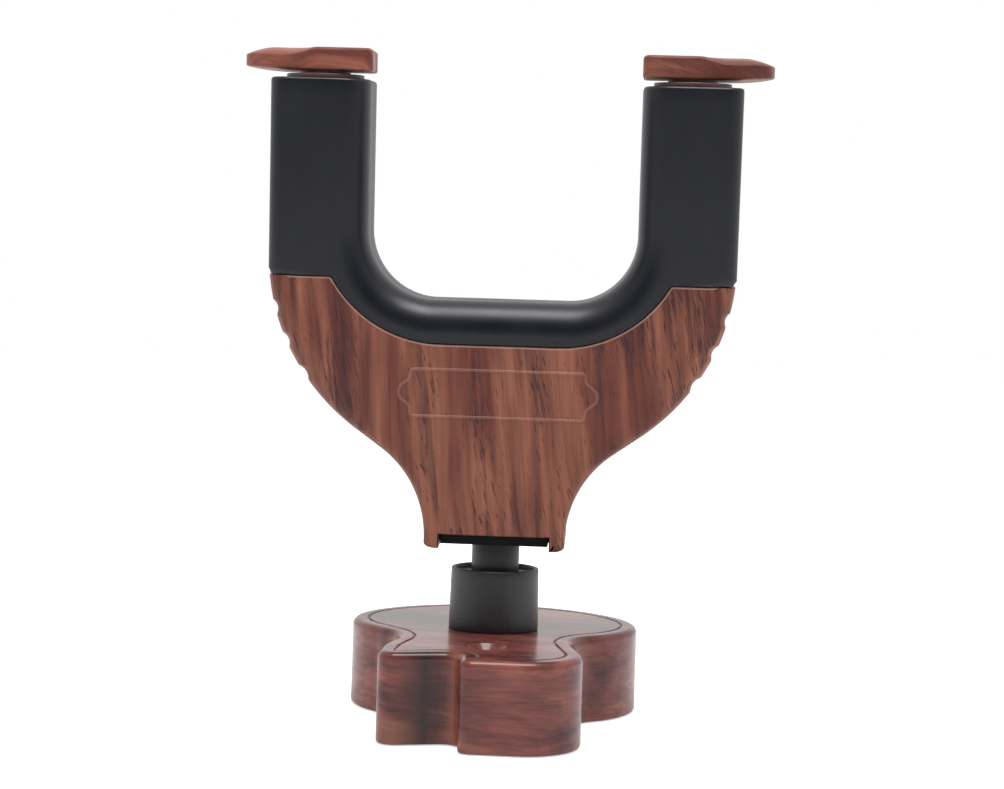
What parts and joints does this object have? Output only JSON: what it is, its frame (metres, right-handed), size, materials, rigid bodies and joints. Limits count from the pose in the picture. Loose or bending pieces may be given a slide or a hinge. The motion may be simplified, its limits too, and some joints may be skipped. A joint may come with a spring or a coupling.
{
  "type": "wall guitar hanger",
  "caption": "Holds a guitar by its headstock on a wall: a padded U-shaped yoke tilts under the load and turns a gate across the opening at each arm's tip.",
  "frame": {"origin": "on the stem's axis at the wall face, midway between the two wall screws", "axes": "+Z points out of the wall along the stem; -Y is up on the wall, towards the base outline's neck end; +X completes the right-handed frame"},
  "size_m": [0.1094, 0.0797, 0.1386],
  "materials": {
    "lacquered_wood": "gloss lacquer",
    "wood_print": "satin wood-effect print",
    "rubber": "matt",
    "black_metal": "satin black",
    "black_nylon": "moulded",
    "brown_plastic": "moulded",
    "steel": "turned",
    "zinc": "zinc plated",
    "cast_alloy": "as cast"
  },
  "bodies": {
    "base": {"base_block": "lacquered_wood", "collar": "black_metal", "collar_washer": "zinc", "collar_nut": "zinc", "swivel_bush": "black_nylon", "lower_bush": "black_nylon", "thrust_washer": "steel"},
    "stem": {"stem": "black_metal", "tilt_head": "black_metal", "head_cross_pin": "steel", "friction_washer": "steel", "stem_nut": "zinc"},
    "yoke": {"yoke_frame": "cast_alloy", "hinge_pin": "steel", "front_shell": "wood_print", "rear_shell": "wood_print", "shell_screws": "black_metal", "front_pad": "rubber", "rear_pad": "rubber", "upper_bush_left": "brown_plastic", "upper_bush_right": "brown_plastic", "arm_bush_left": "black_nylon", "arm_bush_right": "black_nylon", "guide_pins": "steel", "return_spring": "steel", "stop_pads": "rubber"},
    "crossbar": {"crossbar": "steel"},
    "left_gate": {"gate_left": "wood_print", "gate_shaft_left": "black_metal", "crank_left": "steel", "gate_screw_left": "black_metal"},
    "right_gate": {"gate_right": "wood_print", "gate_shaft_right": "black_metal", "crank_right": "steel", "gate_screw_right": "black_metal"}
  },
  "joints": [
    {"name": "swivel", "type": "hinge", "parent": "base", "child": "stem", "pos_m": [0, 0, 0], "axis": [0, 0, 1], "range_deg": [-45, 45]},
    {"name": "tilt", "type": "hinge", "parent": "stem", "child": "yoke", "pos_m": [0, 0, 0.042], "axis": [-1, 0, 0], "range_deg": [0, 10], "stiffness_Nm_per_rad": 1.5, "springref_deg": -20.05, "deforming": ["return_spring"]},
    {"name": "crossbar_slide", "type": "slide", "parent": "yoke", "child": "crossbar", "axis": [0, -0.9969, -0.0785], "range_m": [0, 0.00585]},
    {"name": "gate_left_turn", "type": "hinge", "parent": "yoke", "child": "left_gate", "pos_m": [-0.0379, -0.00737, 0.13571], "axis": [0, -0.0785, 0.9969], "range_deg": [-120, 0]},
    {"name": "gate_right_turn", "type": "hinge", "parent": "yoke", "child": "right_gate", "pos_m": [0.0379, -0.00737, 0.13571], "axis": [0, -0.0785, 0.9969], "range_deg": [0, 120]}
  ],
  "couplings": [
    {"joint": "crossbar_slide", "follows": "tilt", "m_per_rad": 0.033455},
    {"joint": "gate_left_turn", "follows": "tilt", "ratio": -12},
    {"joint": "gate_right_turn", "follows": "tilt", "ratio": 12}
  ]
}
